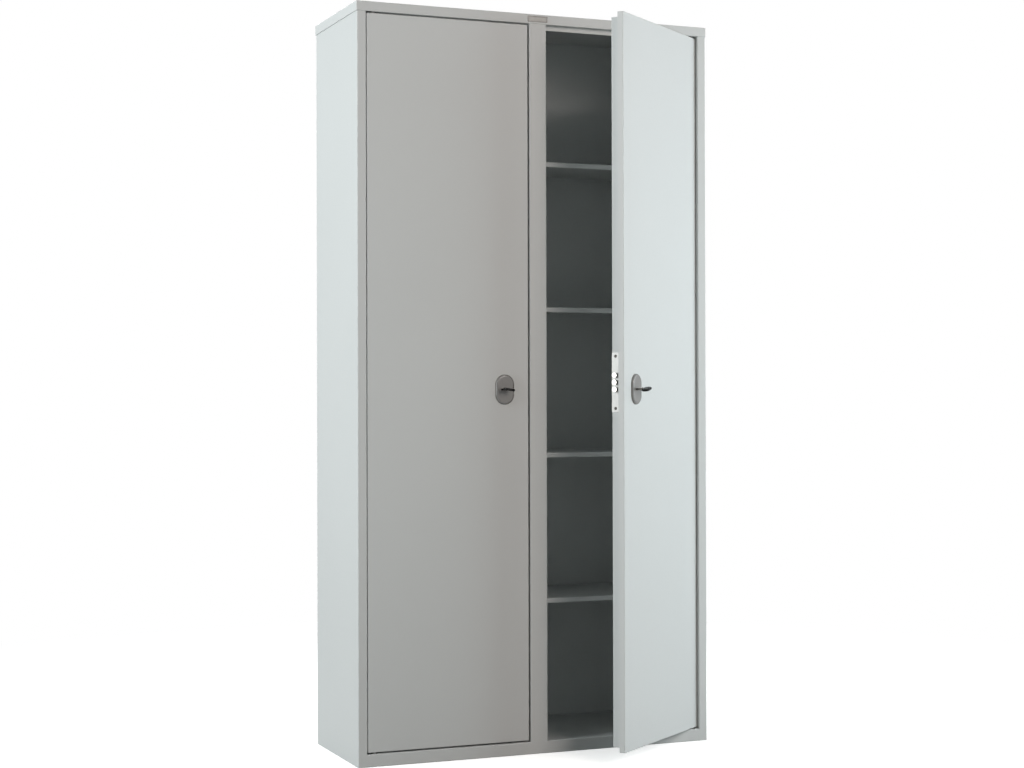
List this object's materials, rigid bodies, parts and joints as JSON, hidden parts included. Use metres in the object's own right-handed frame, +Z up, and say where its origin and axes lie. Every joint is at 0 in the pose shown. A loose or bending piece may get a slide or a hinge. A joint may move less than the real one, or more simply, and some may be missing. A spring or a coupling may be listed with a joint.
{
  "type": "document cabinet",
  "caption": "Tall sheet-steel document cabinet with shelved bays side by side, boxed doors on pivot pins, and key locks that throw round bolts into the middle post.",
  "frame": {"origin": "middle of the base, on the floor, on the underside of the bearer", "axes": "+Z up; -Y to the front, where the doors are; +X to the right seen from the front"},
  "size_m": [0.924, 0.58, 1.8],
  "materials": {
    "body_paint": "light grey powder coat, fine texture, satin",
    "shelf_paint": "light grey powder coat, satin",
    "zinc_steel": "zinc-plated steel",
    "nickel_steel": "bright nickel-plated steel",
    "lever_brass": "rolled brass",
    "bush_nylon": "grey nylon",
    "escutcheon_plastic": "moulded grey plastic, satin",
    "bow_plastic": "black moulded plastic, glossy",
    "plate_aluminium": "matt anodised aluminium"
  },
  "bodies": {
    "cabinet": {"roof_cap": "body_paint", "left_side_panel": "body_paint", "right_side_panel": "body_paint", "back_panel": "body_paint", "floor_pan": "body_paint", "floor_bearer": "body_paint", "centre_post": "body_paint", "partition": "body_paint", "left_stop_strip": "body_paint", "right_stop_strip": "body_paint", "name_plate": "plate_aluminium", "left_upright_1": "shelf_paint", "left_shelf_1": "shelf_paint", "left_upright_2": "shelf_paint", "left_shelf_2": "shelf_paint", "left_upright_3": "shelf_paint", "left_shelf_3": "shelf_paint", "left_upright_4": "shelf_paint", "left_shelf_4": "shelf_paint", "left_shelf_hooks": "zinc_steel", "left_hinge_pins": "zinc_steel", "right_upright_1": "shelf_paint", "right_shelf_1": "shelf_paint", "right_upright_2": "shelf_paint", "right_shelf_2": "shelf_paint", "right_upright_3": "shelf_paint", "right_shelf_3": "shelf_paint", "right_upright_4": "shelf_paint", "right_shelf_4": "shelf_paint", "right_shelf_hooks": "zinc_steel", "right_hinge_pins": "zinc_steel"},
    "left_door": {"left_door_skin": "body_paint", "left_door_tray": "body_paint", "left_door_stiffener": "body_paint", "left_hinge_bushes": "bush_nylon", "left_lock_case": "zinc_steel", "left_lock_cover": "zinc_steel", "left_lock_levers": "lever_brass", "left_faceplate": "nickel_steel", "left_faceplate_screws": "zinc_steel", "left_escutcheon": "escutcheon_plastic"},
    "left_bolts": {"left_bolts": "nickel_steel"},
    "left_key": {"left_key": "nickel_steel", "left_key_bow": "bow_plastic"},
    "right_door": {"right_door_skin": "body_paint", "right_door_tray": "body_paint", "right_door_stiffener": "body_paint", "right_hinge_bushes": "bush_nylon", "right_lock_case": "zinc_steel", "right_lock_cover": "zinc_steel", "right_lock_levers": "lever_brass", "right_faceplate": "nickel_steel", "right_faceplate_screws": "zinc_steel", "right_escutcheon": "escutcheon_plastic"},
    "right_bolts": {"right_bolts": "nickel_steel"},
    "right_key": {"right_key": "nickel_steel", "right_key_bow": "bow_plastic"}
  },
  "joints": [
    {"name": "left_door_hinge", "type": "hinge", "parent": "cabinet", "child": "left_door", "pos_m": [-0.4204, -0.162, 0.9], "axis": [0, 0, -1], "range_deg": [0, 110]},
    {"name": "left_key_turn", "type": "hinge", "parent": "left_door", "child": "left_key", "pos_m": [-0.0887, -0.17, 0.886], "axis": [0, -1, 0], "range_deg": [0, 360]},
    {"name": "left_bolt_throw", "type": "slide", "parent": "left_door", "child": "left_bolts", "axis": [1, 0, 0], "range_m": [0, 0.014]},
    {"name": "right_door_hinge", "type": "hinge", "parent": "cabinet", "child": "right_door", "pos_m": [0.4204, -0.162, 0.9], "axis": [0, 0, 1], "range_deg": [-38, 72]},
    {"name": "right_key_turn", "type": "hinge", "parent": "right_door", "child": "right_key", "pos_m": [0.15902, -0.36622, 0.886], "axis": [-0.6157, 0.788, 0], "range_deg": [0, 360]},
    {"name": "right_bolt_throw", "type": "slide", "parent": "right_door", "child": "right_bolts", "axis": [-0.788, -0.6157, 0], "range_m": [0, 0.014]}
  ],
  "couplings": [
    {"joint": "left_key_turn", "follows": "left_bolt_throw", "rad_per_m": 448.8},
    {"joint": "right_key_turn", "follows": "right_bolt_throw", "rad_per_m": 448.8}
  ]
}
